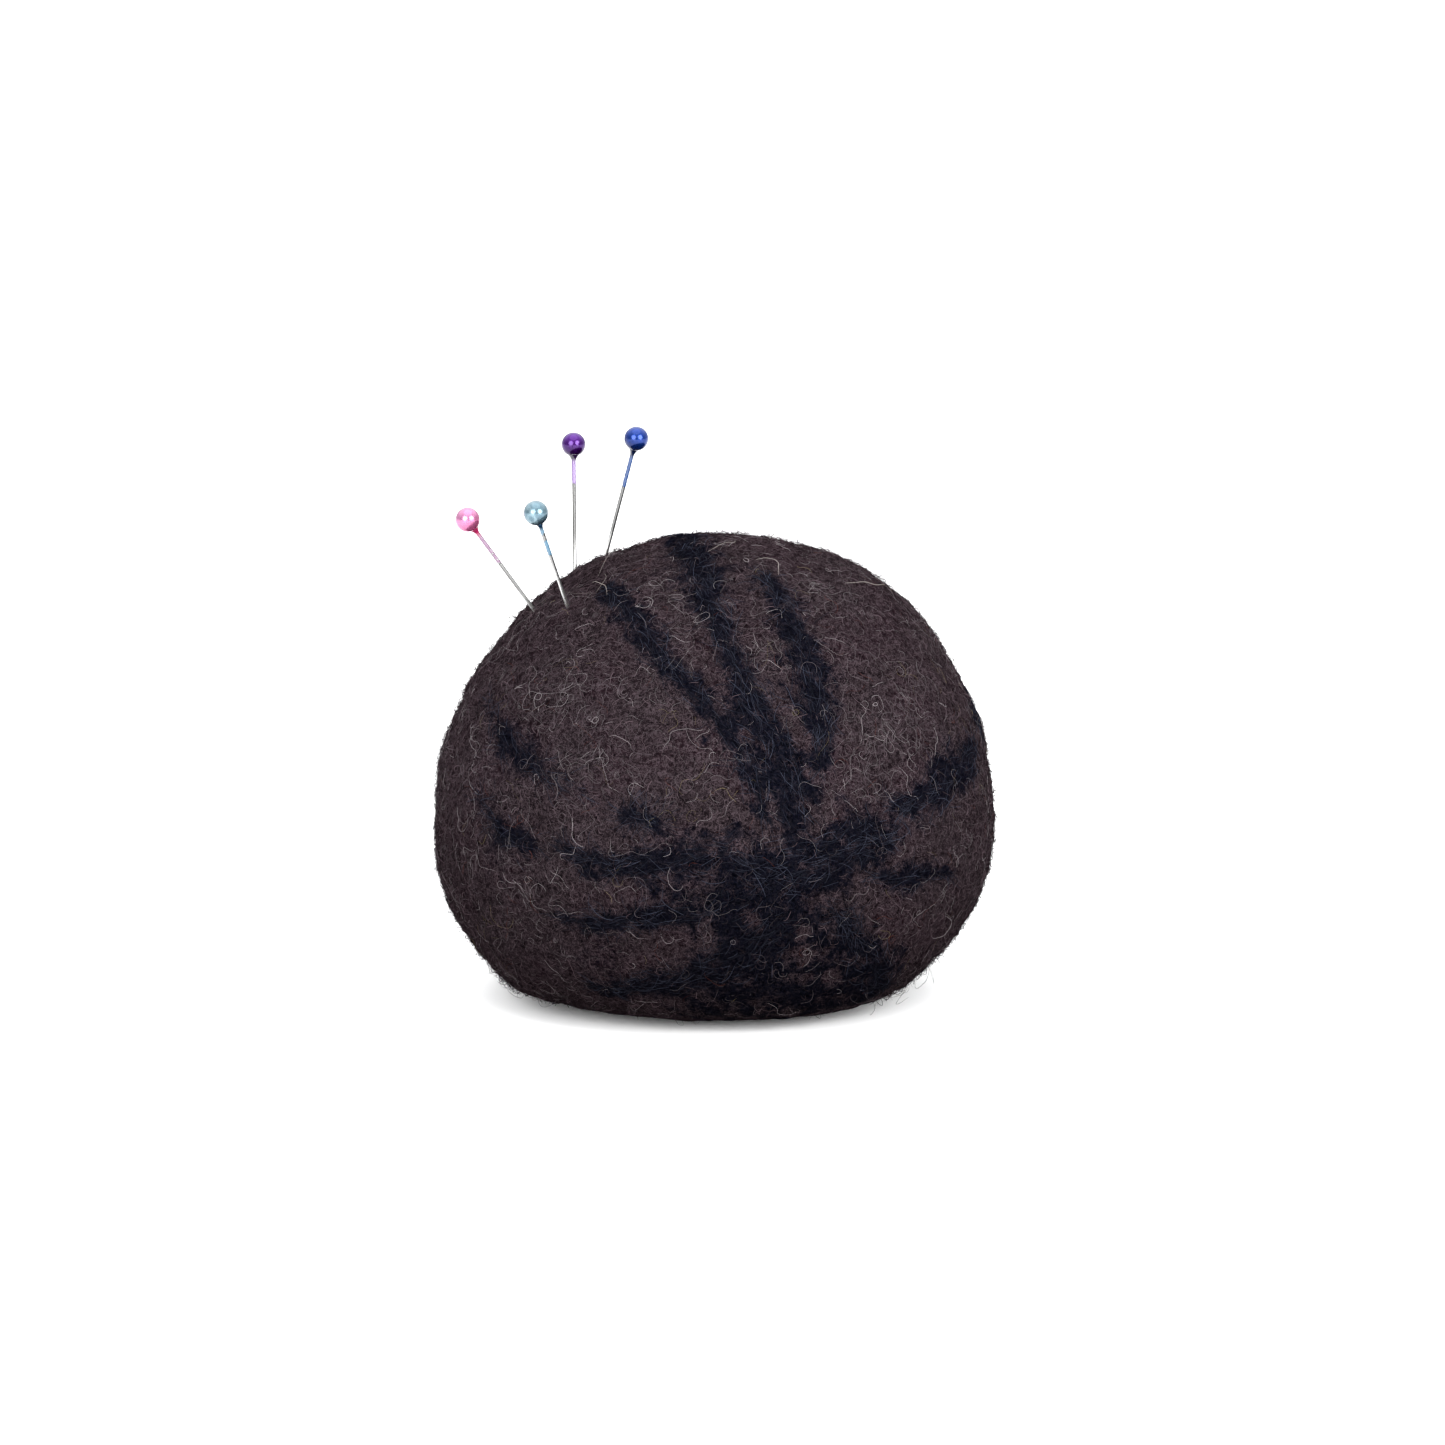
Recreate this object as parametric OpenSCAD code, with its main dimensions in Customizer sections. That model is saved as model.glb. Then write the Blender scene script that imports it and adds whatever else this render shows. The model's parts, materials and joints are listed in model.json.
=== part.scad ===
// Felted wool pin cushion with four pearl-headed pins.
// Millimetres. The origin is the middle of the flat base, on the surface it stands on.
// +Z is up, -Y is the front and +X is to the right as seen from the front.

/* [Felt ball] */
// Width of the ball at its widest level
ball_w = 92; // [80:1:104]
// Height of the crown above the widest level
crown_h = 48; // [42:0.5:54]
// Depth that the lower half would have if its base weren't pressed flat
lower_h = 37.5; // [34:0.5:44]
// Height of the widest level above the flat base
base_h = 28; // [24:0.5:31]
// Thickness of the dense outer layer of felt
felt_t = 9; // [6:0.5:12]

/* [Black wisps] */
// Width of a wisp of black wool where its route says 1
wisp_w = 5; // [4:0.25:5.5]
// How far a wisp stands proud of the brown felt
wisp_t = 0.5; // [0.3:0.1:0.8]

/* [Pins] */
// Overall length of a pin, from the top of its bead to its point
pin_l = 38; // [34:1:40]
// Diameter of the steel wire
wire_d = 0.6; // [0.5:0.05:0.7]
// Diameter of the pearl bead
bead_d = 4; // [3.5:0.1:4.5]
// Length of the ground point
point_l = 3; // [1:0.5:5]
// Radial clearance between a pin and the hole that it keeps open in the felt
pin_clearance = 0.09; // [0.06:0.01:0.1]

/* [Pink pin] */
// Compass angle of the place where it enters the felt, from +X towards +Y
pink_az = 189; // [185:1:193]
// Height angle of that place, above the widest level
pink_up = 51; // [48:0.5:53]
// Lean of the pin away from upright
pink_lean = 36; // [34:1:38]
// Compass angle that it leans towards
pink_heading = 198; // [194:1:202]
// Length between the felt and the centre of the bead
pink_out = 19; // [16:0.5:22]
// Length of the lacquer that has run down the wire from the bead
pink_film_l = 6; // [2:0.2:8]

/* [Light blue pin] */
// Compass angle of the place where it enters the felt, from +X towards +Y
light_blue_az = 211; // [208:1:215]
// Height angle of that place, above the widest level
light_blue_up = 54.5; // [52:0.5:56]
// Lean of the pin away from upright
light_blue_lean = 28; // [26:1:30]
// Compass angle that it leans towards
light_blue_heading = 236; // [232:1:240]
// Length between the felt and the centre of the bead
light_blue_out = 18.7; // [16:0.1:22]
// Length of the lacquer that has run down the wire from the bead
light_blue_film_l = 5; // [2:0.2:8]

/* [Violet pin] */
// Compass angle of the place where it enters the felt, from +X towards +Y
violet_az = 168; // [166:1:170]
// Height angle of that place, above the widest level
violet_up = 60.5; // [59:0.5:61]
// Lean of the pin away from upright
violet_lean = 16; // [14:1:17]
// Compass angle that it leans towards
violet_heading = 93; // [91:1:95]
// Length between the felt and the centre of the bead
violet_out = 21.4; // [18:0.2:23]
// Length of the lacquer that has run down the wire from the bead
violet_film_l = 3.4; // [2:0.2:8]

/* [Blue pin] */
// Compass angle of the place where it enters the felt, from +X towards +Y
blue_az = 164; // [162:1:166]
// Height angle of that place, above the widest level
blue_up = 67; // [66:0.5:69]
// Lean of the pin away from upright
blue_lean = 16; // [14:1:18]
// Compass angle that it leans towards
blue_heading = 335; // [332:1:338]
// Length between the felt and the centre of the bead
blue_out = 20.8; // [18:0.2:23]
// Length of the lacquer that has run down the wire from the bead
blue_film_l = 5.2; // [2:0.2:8]

/* [Hidden] */

ball_r = ball_w / 2;
middle = [0, 0, base_h];
profile_step = 6;

// Wisp proportions: clear of the felt by wisp_gap, so that its flat facets don't cut into the ball
wisp_gap = 0.08;
wisp_taper = 0.4;
wisp_steps = 3;
wisp_column_w = 1.7;

// Pin proportions
wire_r = wire_d / 2;
bead_r = bead_d / 2;
hole_r = wire_r + pin_clearance;
film_r = wire_r + 0.04;
seat_r = 0.45 * bead_r;
seat_z = -sqrt(bead_r * bead_r - seat_r * seat_r);
neck_l = 1.2;
wire_in_bead = 0.4 * bead_r;
// What stays between the bead's centre and the felt when a pin is pushed right in
pushed_in_out = 3.6;
hole_spare = 0.5;
hole_depth = pin_l - bead_r - pushed_in_out + hole_spare;
hole_mouth = 4;

// Colours
core_brown = [0.30, 0.23, 0.19];
felt_brown = [0.22, 0.17, 0.15];
wisp_black = [0.07, 0.07, 0.09];
pin_steel = [0.75, 0.75, 0.77];
pearl_pink = [0.93, 0.45, 0.68];
pearl_light_blue = [0.38, 0.62, 0.72];
pearl_violet = [0.30, 0.10, 0.50];
pearl_blue = [0.08, 0.22, 0.60];

// Wisp routes: [compass angle, height angle, width in wisp_w], the angles seen from the middle of the
// widest level
JUNCTION = [[306, 7, 1.3], [298, 5, 1.8], [291, 3, 2.1], [284, 1, 2.2], [277, 0, 1.6]];
CROWN_CENTRE = [
    [118, 74, 0.7], [150, 83, 1], [236, 81, 1.2], [256, 74, 1.1], [264, 65, 1], [270, 56, 0.9],
    [275, 46, 0.7], [278, 38, 0.9], [283, 27, 1.1], [287, 16, 1.1], [288, 12, 1]
];
CROWN_LEFT = [
    [219, 61, 0.8], [236, 58, 0.8], [248, 51, 0.9], [255, 46, 0.8], [259, 42, 0.6],
    [264, 38, 0.7], [271, 33, 0.5], [275, 26, 0.6], [279, 19, 0.4], [281, 11, 0.3]
];
CROWN_RIGHT = [
    [297, 66, 0.8], [295, 60, 0.8], [296, 53, 1.1], [295, 48, 0.7], [293, 44, 0.9],
    [296, 39, 1.2], [295, 34, 1.1], [294, 28, 0.8], [292, 21, 0.5]
];
RIGHT_ARM = [[344, 19, 1], [336, 17, 1.3], [329, 15, 1.4], [319, 13, 1], [310, 11, 1.1]];
LEFT_ARM = [
    [272, 4, 1.1], [267, 5, 1.1], [260, 4, 1.1], [254, 2, 0.8], [248, 2, 0.8], [243, 3, 0.5], [238, 5, 0.3]
];
LEFT_SPOT = [[252, 11, 0.4], [255, 13, 0.6], [259, 11, 0.5]];
LEFT_UPPER = [
    [203, 31, 0.7], [212, 27, 0.6], [220, 23, 1], [229, 20, 0.8], [236, 18, 0.6], [243, 16, 0.3]
];
LEFT_LOWER = [[213, 11, 0.5], [220, 7, 0.9], [226, 5, 1], [231, 5, 0.5]];
LOW_LEFT = [[237, -9, 0.4], [244, -11, 0.5], [251, -9, 0.5], [258, -8, 0.8], [267, -6, 1], [274, -6, 1.2]];
LOW_MIDDLE = [
    [282, -8, 1.7], [280, -13, 1.6], [275, -18, 1.4], [267, -22, 1.2], [255, -25, 0.9], [242, -28, 0.8]
];
LOW_RIGHT = [[296, -7, 1.1], [298, -11, 0.9], [302, -16, 1.1], [309, -22, 1.6], [314, -32, 2.2]];
RIGHT_SHORT = [[305, -1, 0.4], [312, -3, 0.7], [317, -2, 0.5], [326, -4, 0.3]];
RIGHT_SIDE = [[353, 23, 0.8], [6, 29, 1], [18, 38, 1.1], [28, 50, 0.6]];
BACK_CROWN = [[104, 70, 0.7], [95, 60, 1], [88, 48, 0.9], [84, 36, 1.1], [89, 24, 1], [94, 14, 1.2]];
BACK_LEFT = [[104, 7, 1.3], [114, 5, 1.2], [130, 3, 0.9], [150, 5, 1], [168, 11, 0.5]];
BACK_RIGHT = [[84, 7, 1.3], [76, 8, 1.1], [62, 11, 0.8], [46, 15, 1], [30, 17, 0.5]];
BACK_LOW = [[94, 2, 1.6], [87, -6, 1.2], [79, -16, 0.9], [74, -28, 1.1]];

// Unit vector at a compass angle and a height angle
function direction(az, up) = [cos(up) * cos(az), cos(up) * sin(az), sin(up)];

// Point on the ball's surface, or lift above it, in the direction of a unit vector from its middle
function on_ball(u, lift = 0) =
    let (half_h = u[2] < 0 ? lower_h : crown_h)
    let (across = norm([u[0], u[1]]))
    middle + u * (lift + 1 / norm([across / ball_r, u[2] / half_h]));

// Half outline of the ball, grown outwards by grow, and cut flat at height floor_z
function ball_outline(grow, floor_z) =
    let (r = ball_r + grow)
    let (low = lower_h + grow)
    let (cut = asin((base_h - floor_z) / low))
    let (steps = round(cut / profile_step))
    concat(
        [[0, floor_z]],
        [for (i = [0 : steps]) let (a = -cut + i * cut / steps) [r * cos(a), base_h + low * sin(a)]],
        [for (a = [profile_step : profile_step : 90 - profile_step])
            [r * cos(a), base_h + (crown_h + grow) * sin(a)]],
        [[0, base_h + crown_h + grow]]
    );

module ball_solid(grow, floor_z) {
    rotate_extrude($fn = 96)
        polygon(ball_outline(grow, floor_z));
}

// Places its children in a pin's own frame: the bead's centre is the origin and the wire runs down -Z
module at_pin(az, up, lean, heading, out) {
    translate(on_ball(direction(az, up)) + out * direction(heading, 90 - lean))
        rotate([0, lean, heading])
            children();
}

module at_pink_pin() at_pin(pink_az, pink_up, pink_lean, pink_heading, pink_out) children();

module at_light_blue_pin() {
    at_pin(light_blue_az, light_blue_up, light_blue_lean, light_blue_heading, light_blue_out)
        children();
}

module at_violet_pin() at_pin(violet_az, violet_up, violet_lean, violet_heading, violet_out) children();

module at_blue_pin() at_pin(blue_az, blue_up, blue_lean, blue_heading, blue_out) children();

// The hole that a pin keeps open in the felt, deep enough for the pin pushed right in
module pin_hole(out) {
    translate([0, 0, -out - hole_depth])
        cylinder(r = hole_r, h = hole_depth + hole_mouth, $fn = 32);
}

module pin_holes() {
    at_pink_pin() pin_hole(pink_out);
    at_light_blue_pin() pin_hole(light_blue_out);
    at_violet_pin() pin_hole(violet_out);
    at_blue_pin() pin_hole(blue_out);
}

module wool_core() {
    color(core_brown)
        difference() {
            ball_solid(-felt_t, felt_t);
            pin_holes();
        }
}

module felt_shell() {
    color(felt_brown)
        difference() {
            ball_solid(0, 0);
            ball_solid(-felt_t, felt_t);
            pin_holes();
        }
}

// Point on the smooth curve through four points, between the second and the third
function curve_point(a, b, c, d, t) =
    b + t / 2 * (c - a) + t * t / 2 * (2 * a - 5 * b + 4 * c - d) + t * t * t / 2 * (3 * b - 3 * c + d - a);

// Value of a list at step s of the smooth curve through it, with wisp_steps steps between its items
function smooth_at(list, s) =
    let (last = len(list) - 1)
    let (i = min(floor(s / wisp_steps), last - 1))
    curve_point(
        list[max(i - 1, 0)], list[i], list[i + 1], list[min(i + 2, last)], s / wisp_steps - i
    );

// A wisp of black wool: a low crowned ribbon that follows the ball along a route.
module wisp(route) {
    last = wisp_steps * (len(route) - 1);
    at = [for (s = [0 : last])
        let (u = smooth_at([for (p = route) direction(p[0], p[1])], s))
        u / norm(u)];
    w = [for (s = [0 : last])
        wisp_w * smooth_at([for (p = route) p[2]], s) * (1 - wisp_taper * pow(2 * s / last - 1, 8))];
    columns = ceil(max(w) / wisp_column_w);
    side = [for (i = [0 : last])
        let (s = cross(at[i], at[min(i + 1, last)] - at[max(i - 1, 0)]))
        w[i] / 2 / ball_r * s / norm(s)];
    // Each row runs along the felt from one edge to the other, and back over the top of the wisp
    across = [for (k = [0 : columns]) 2 * k / columns - 1];
    row = concat(
        [for (x = across) [x, wisp_gap]],
        [for (x = across) [-x, wisp_gap + wisp_t * (1 - 0.7 * x * x)]]
    );
    ring = len(row);
    points = [for (i = [0 : last]) for (p = row)
        let (u = at[i] + p[0] * side[i])
        on_ball(u / norm(u), p[1])];
    walls = [for (i = [0 : last - 1]) for (k = [0 : ring - 1])
        let (a = i * ring + k)
        let (b = i * ring + (k + 1) % ring)
        each [[a, a + ring, b + ring], [a, b + ring, b]]];
    ends = [[for (k = [0 : ring - 1]) k], [for (k = [ring - 1 : -1 : 0]) last * ring + k]];
    color(wisp_black)
        polyhedron(points, concat(walls, ends));
}

module black_wisp_junction() wisp(JUNCTION);
module black_wisp_crown_centre() wisp(CROWN_CENTRE);
module black_wisp_crown_left() wisp(CROWN_LEFT);
module black_wisp_crown_right() wisp(CROWN_RIGHT);
module black_wisp_right_arm() wisp(RIGHT_ARM);
module black_wisp_left_arm() wisp(LEFT_ARM);
module black_wisp_left_spot() wisp(LEFT_SPOT);
module black_wisp_left_upper() wisp(LEFT_UPPER);
module black_wisp_left_lower() wisp(LEFT_LOWER);
module black_wisp_low_left() wisp(LOW_LEFT);
module black_wisp_low_middle() wisp(LOW_MIDDLE);
module black_wisp_low_right() wisp(LOW_RIGHT);
module black_wisp_right_short() wisp(RIGHT_SHORT);
module black_wisp_right_side() wisp(RIGHT_SIDE);
module black_wisp_back_crown() wisp(BACK_CROWN);
module black_wisp_back_left() wisp(BACK_LEFT);
module black_wisp_back_right() wisp(BACK_RIGHT);
module black_wisp_back_low() wisp(BACK_LOW);

// Steel wire with a ground point; its top end sits inside the bead
module pin_wire() {
    point_z = bead_r - pin_l;
    color(pin_steel) {
        translate([0, 0, point_z])
            cylinder(r1 = 0.04, r2 = wire_r, h = point_l, $fn = 32);
        translate([0, 0, point_z + point_l])
            cylinder(r = wire_r, h = wire_in_bead - point_z - point_l, $fn = 32);
    }
}

// Round pearl bead with a small flat seat below and a blind hole for the wire
module pin_bead(tint) {
    color(tint)
        difference() {
            rotate_extrude($fn = 64)
                intersection() {
                    circle(r = bead_r, $fn = 64);
                    translate([0, seat_z])
                        square([bead_d, bead_d]);
                }
            translate([0, 0, seat_z - 1])
                cylinder(r = wire_r, h = wire_in_bead - seat_z + 1, $fn = 32);
        }
}

// Collar of set lacquer that holds the bead, running out as a thin film down the wire
module pin_collar(tint, film_l) {
    neck_z = seat_z - neck_l;
    color(tint)
        rotate_extrude($fn = 32)
            polygon([
                [wire_r, seat_z], [seat_r, seat_z],
                [(seat_r + film_r) / 2, seat_z - 0.55 * neck_l], [film_r, neck_z],
                [film_r, neck_z - film_l], [wire_r, neck_z - film_l]
            ]);
}

module pink_pin_wire() at_pink_pin() pin_wire();
module pink_pin_bead() at_pink_pin() pin_bead(pearl_pink);
module pink_pin_collar() at_pink_pin() pin_collar(pearl_pink, pink_film_l);

module light_blue_pin_wire() at_light_blue_pin() pin_wire();
module light_blue_pin_bead() at_light_blue_pin() pin_bead(pearl_light_blue);
module light_blue_pin_collar() at_light_blue_pin() pin_collar(pearl_light_blue, light_blue_film_l);

module violet_pin_wire() at_violet_pin() pin_wire();
module violet_pin_bead() at_violet_pin() pin_bead(pearl_violet);
module violet_pin_collar() at_violet_pin() pin_collar(pearl_violet, violet_film_l);

module blue_pin_wire() at_blue_pin() pin_wire();
module blue_pin_bead() at_blue_pin() pin_bead(pearl_blue);
module blue_pin_collar() at_blue_pin() pin_collar(pearl_blue, blue_film_l);

wool_core();
felt_shell();
black_wisp_junction();
black_wisp_crown_centre();
black_wisp_crown_left();
black_wisp_crown_right();
black_wisp_right_arm();
black_wisp_left_arm();
black_wisp_left_spot();
black_wisp_left_upper();
black_wisp_left_lower();
black_wisp_low_left();
black_wisp_low_middle();
black_wisp_low_right();
black_wisp_right_short();
black_wisp_right_side();
black_wisp_back_crown();
black_wisp_back_left();
black_wisp_back_right();
black_wisp_back_low();
pink_pin_wire();
pink_pin_bead();
pink_pin_collar();
light_blue_pin_wire();
light_blue_pin_bead();
light_blue_pin_collar();
violet_pin_wire();
violet_pin_bead();
violet_pin_collar();
blue_pin_wire();
blue_pin_bead();
blue_pin_collar();
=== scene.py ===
"""A felted wool pin cushion with four pearl-headed pins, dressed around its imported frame. Metres."""

import heapq
import json
import math

import bmesh
import bpy
import numpy as np
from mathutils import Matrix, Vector


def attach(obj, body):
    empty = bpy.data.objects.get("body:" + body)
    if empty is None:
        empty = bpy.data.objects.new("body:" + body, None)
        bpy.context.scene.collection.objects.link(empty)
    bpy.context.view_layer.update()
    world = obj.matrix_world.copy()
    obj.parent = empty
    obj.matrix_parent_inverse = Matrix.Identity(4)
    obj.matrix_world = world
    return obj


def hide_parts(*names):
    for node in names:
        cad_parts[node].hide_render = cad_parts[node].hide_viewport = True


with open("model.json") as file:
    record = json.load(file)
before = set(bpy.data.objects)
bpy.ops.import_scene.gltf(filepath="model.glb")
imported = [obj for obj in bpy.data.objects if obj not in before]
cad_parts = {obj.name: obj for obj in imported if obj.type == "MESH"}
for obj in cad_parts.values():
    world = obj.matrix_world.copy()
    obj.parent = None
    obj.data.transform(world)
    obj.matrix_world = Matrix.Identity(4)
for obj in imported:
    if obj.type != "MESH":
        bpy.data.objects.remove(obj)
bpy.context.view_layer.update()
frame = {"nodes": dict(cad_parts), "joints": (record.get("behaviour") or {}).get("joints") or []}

MM = 0.001
PINS = ("pink", "light_blue", "violet", "blue")
WISPS = sorted(n for n in frame["nodes"] if n.startswith("black_wisp_"))


# ---------------------------------------------------------------- reading the frame

def node_mesh(name):
    """A CAD node's points with doubles merged, its edges and its triangles or larger faces."""
    mesh = frame["nodes"][name].data
    points = np.empty(3 * len(mesh.vertices))
    mesh.vertices.foreach_get("co", points)
    grid = 0.001 * MM
    merged, index = np.unique(np.round(points.reshape(-1, 3) / grid), axis=0, return_inverse=True)
    index = index.ravel()
    edges = np.empty(2 * len(mesh.edges), np.int32)
    mesh.edges.foreach_get("vertices", edges)
    faces = [[int(index[i]) for i in p.vertices] for p in mesh.polygons]
    return merged * grid, index[edges].reshape(-1, 2), faces


def unit(v):
    return v / np.linalg.norm(v, axis=-1, keepdims=True)


shell_points = node_mesh("felt_shell")[0]
shell_r = np.hypot(shell_points[:, 0], shell_points[:, 1])
BALL_R = shell_r.max()
MIDDLE = np.array([0, 0, shell_points[shell_r > BALL_R - 0.01 * MM, 2].mean()])
CROWN = shell_points[:, 2].max() - MIDDLE[2]
FLAT_R = shell_r[shell_points[:, 2] < 0.05 * MM].max()
LOWER = MIDDLE[2] / math.sqrt(1 - (FLAT_R / BALL_R) ** 2)


def waves(p, length, seed, count=40):
    """Smooth random relief with a spread of 1: many plane waves of about that length, added up."""
    rng = np.random.default_rng(seed)
    k = unit(rng.normal(size=(count, 3))) * 2 * math.pi / length * rng.uniform(0.7, 1.4, (count, 1))
    phase = rng.uniform(0, 2 * math.pi, count)
    flat = p.reshape(-1, 3)
    total = np.concatenate([
        np.cos(part @ k.T + phase).sum(1) for part in np.array_split(flat, 1 + len(flat) // 50000)
    ])
    return (total / math.sqrt(count / 2)).reshape(p.shape[:-1])


SOFT_EDGE = 4.5 * MM


def smooth_ball(u):
    """Points on the ball in the directions u from its middle, with its base settled flat on the floor."""
    half = np.where(u[..., 2] < 0, LOWER, CROWN)
    r = 1 / np.sqrt((u[..., 0] ** 2 + u[..., 1] ** 2) / BALL_R ** 2 + (u[..., 2] / half) ** 2)
    p = MIDDLE + u * r[..., None]
    z = p[..., 2]
    lowest = MIDDLE[2] - LOWER
    settled = (z + np.sqrt(z * z + SOFT_EDGE ** 2)) / 2
    least = (lowest + math.sqrt(lowest ** 2 + SOFT_EDGE ** 2)) / 2
    p[..., 2] = settled - least * np.clip(1 - (z - lowest) / (3 * SOFT_EDGE), 0, 1)
    return p


def outward(u):
    """Outward normals of the ball in the directions u."""
    half = np.where(u[..., 2] < 0, LOWER, CROWN)
    n = u.copy()
    n[..., 2] *= (BALL_R / half) ** 2
    return unit(n)


def direction(az, up):
    """Unit vector at a compass angle and a height angle in degrees."""
    a, e = math.radians(az), math.radians(up)
    return np.array([math.cos(e) * math.cos(a), math.cos(e) * math.sin(a), math.sin(e)])


# Where the hand-rolled ball swells or shrinks a little: compass angle, height angle, width in degrees, mm
SWELLS = [
    (340, 48, 22, 1.5), (215, -28, 18, 1.2), (20, 52, 20, 0.9), (345, -30, 16, -0.5), (300, -30, 20, 0.5),
]


def on_felt(u, lift):
    """Points lift above the felt, whose relief is a little lumpy all over."""
    p = smooth_ball(u)
    rough = 0.20 * waves(p, 17 * MM, 1) + 0.12 * waves(p, 6 * MM, 2) + 0.07 * waves(p, 2.6 * MM, 3)
    for az, up, width, swell in SWELLS:
        rough += swell * np.exp((u @ direction(az, up) - 1) / (1 - math.cos(math.radians(width))))
    height = rough * MM * np.clip(p[..., 2] / (4 * MM), 0, 1) + lift
    return p + outward(u) * height[..., None]


# ---------------------------------------------------------------- mesh helpers

def new_piece(name, points, face_sets, material, body="cushion"):
    """A smooth-shaded mesh object from arrays of corners, riding on a body."""
    loops = np.concatenate([f.ravel() for f in face_sets])
    sizes = np.concatenate([np.full(len(f), f.shape[1]) for f in face_sets])
    mesh = bpy.data.meshes.new(name)
    mesh.vertices.add(len(points))
    mesh.vertices.foreach_set("co", points.ravel())
    mesh.loops.add(len(loops))
    mesh.loops.foreach_set("vertex_index", loops)
    mesh.polygons.add(len(sizes))
    mesh.polygons.foreach_set("loop_start", np.concatenate([[0], np.cumsum(sizes)[:-1]]))
    mesh.polygons.foreach_set("use_smooth", np.ones(len(sizes), bool))
    mesh.update(calc_edges=True)
    mesh.validate()
    mesh.materials.append(material)
    piece = bpy.data.objects.new(name, mesh)
    bpy.context.scene.collection.objects.link(piece)
    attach(piece, body)
    return piece


def point_values(piece, name, values):
    """Stores one number for each point of a piece, for its material to read."""
    attribute = piece.data.attributes.new(name, "FLOAT", "POINT")
    attribute.data.foreach_set("value", np.ascontiguousarray(values, np.float32).ravel())


def tubes(paths, radii, sides=3):
    """Closed tubes along many paths at once, as points and face corners."""
    count, rings, _ = paths.shape
    along = unit(np.gradient(paths, axis=1))
    side = unit(np.cross(along, paths - MIDDLE + 1e-9))
    up = np.cross(side, along)
    turn = 2 * math.pi * np.arange(sides) / sides
    ring = np.cos(turn)[:, None] * side[:, :, None] + np.sin(turn)[:, None] * up[:, :, None]
    points = (paths[:, :, None] + radii[:, :, None, None] * ring).reshape(-1, 3)
    i = np.arange(count * rings * sides).reshape(count, rings, sides)
    j = np.roll(i, -1, axis=2)
    walls = np.stack([i[:, :-1], j[:, :-1], j[:, 1:], i[:, 1:]], -1).reshape(-1, 4)
    return points, [walls, i[:, 0, ::-1], i[:, -1]]


# ---------------------------------------------------------------- wisps, from their CAD solids

def steps_from(start, edges, points):
    """The shortest way along the edges from one point to every other."""
    near = [[] for _ in points]
    for a, b in edges:
        gap = float(np.linalg.norm(points[a] - points[b]))
        near[a].append((b, gap))
        near[b].append((a, gap))
    far = np.full(len(points), np.inf)
    far[start] = 0
    queue = [(0.0, start)]
    while queue:
        d, a = heapq.heappop(queue)
        if d > far[a]:
            continue
        for b, gap in near[a]:
            if d + gap < far[b]:
                far[b] = d + gap
                heapq.heappush(queue, (d + gap, b))
    return far


def centreline(name, stations=14):
    """A wisp's line as directions from the ball's middle, and its half width at each station."""
    points, edges, _ = node_mesh(name)
    one_end = int(np.argmax(steps_from(0, edges, points)))
    from_one = steps_from(one_end, edges, points)
    from_other = steps_from(int(np.argmax(from_one)), edges, points)
    t = from_one / (from_one + from_other)
    line = []
    for s in np.linspace(0, 1, stations):
        weight = np.exp(-((t - s) * stations / 0.9) ** 2)
        line.append((points * weight[:, None]).sum(0) / weight.sum())
    line = unit(np.array(line) - MIDDLE)
    along = unit(np.gradient(line, axis=0))
    across = unit(np.cross(line, along))
    offset = (unit(points - MIDDLE)[:, None] - line[None]) * across[None]
    beside = np.abs(offset.sum(-1))
    own = np.abs(t[:, None] - np.linspace(0, 1, stations)[None]) < 0.8 / stations
    half = np.array([beside[own[:, i], i].max() if own[:, i].any() else 0.03 for i in range(stations)])
    return line, half * BALL_R


WISP_LINES = {name: centreline(name) for name in WISPS}


# Black wool strewn loosely between the wisps: compass angle, height angle, width in degrees, most it hides
LOOSE_BLACK = [
    (285, 0, 10, 0.85), (279, -15, 9, 0.8), (284, -27, 12, 0.9), (269, -31, 9, 0.75), (300, -27, 11, 0.85),
    (286, 16, 6, 0.8), (281, 24, 6, 0.85), (276, 33, 5, 0.75), (293, -3, 8, 0.75), (268, -2, 6, 0.5),
    (265, 68, 8, 0.4), (222, 2, 5, 0.4), (245, -19, 6, 0.4), (300, 8, 5, 0.5),
    (90, 5, 10, 0.5), (120, -20, 9, 0.5), (60, 40, 8, 0.4),
]

# Where a wisp has thinned so far that the brown shows through, given in the same way
THIN_BLACK = [(202, 31, 8, 0.8), (237, 16, 7, 0.85), (215, 7, 3.5, 0.8)]


def wisp_share(p):
    """How black the wool is at the points p: 1 along the middle of a wisp, 0 a little way past its edges."""
    flat = p.reshape(-1, 3)
    u = unit(flat - MIDDLE)
    bare = np.ones(len(flat))
    ragged = 0.26 * waves(flat, 5 * MM, 4) + 0.16 * waves(flat, 2 * MM, 5)
    fine = np.linspace(0, 1, 50)
    for line, half in WISP_LINES.values():
        t = np.linspace(0, 1, len(line))
        spine = unit(np.stack([np.interp(fine, t, line[:, k]) for k in range(3)], 1))
        reach = np.interp(fine, t, half) + 0.1 * MM
        for part in np.array_split(np.arange(len(flat)), 1 + len(flat) // 20000):
            away = np.linalg.norm(u[part, None] - spine[None], axis=2) * BALL_R / reach
            share = np.clip((1.75 - away.min(1) - ragged[part]) / 1.5, 0, 1)
            bare[part] *= 1 - share * share * (3 - 2 * share)
    for az, up, width, most in LOOSE_BLACK:
        away = np.degrees(np.arccos(np.clip(u @ direction(az, up), -1, 1))) / width
        bare *= 1 - most * np.clip(1.5 - away - 1.3 * ragged, 0, 1)
    share = 1 - bare
    for az, up, width, most in THIN_BLACK:
        away = np.degrees(np.arccos(np.clip(u @ direction(az, up), -1, 1))) / width
        share *= 1 - most * np.clip(1.5 - away - 1.3 * ragged, 0, 1)
    return share.reshape(p.shape[:-1])


# ---------------------------------------------------------------- materials

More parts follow.
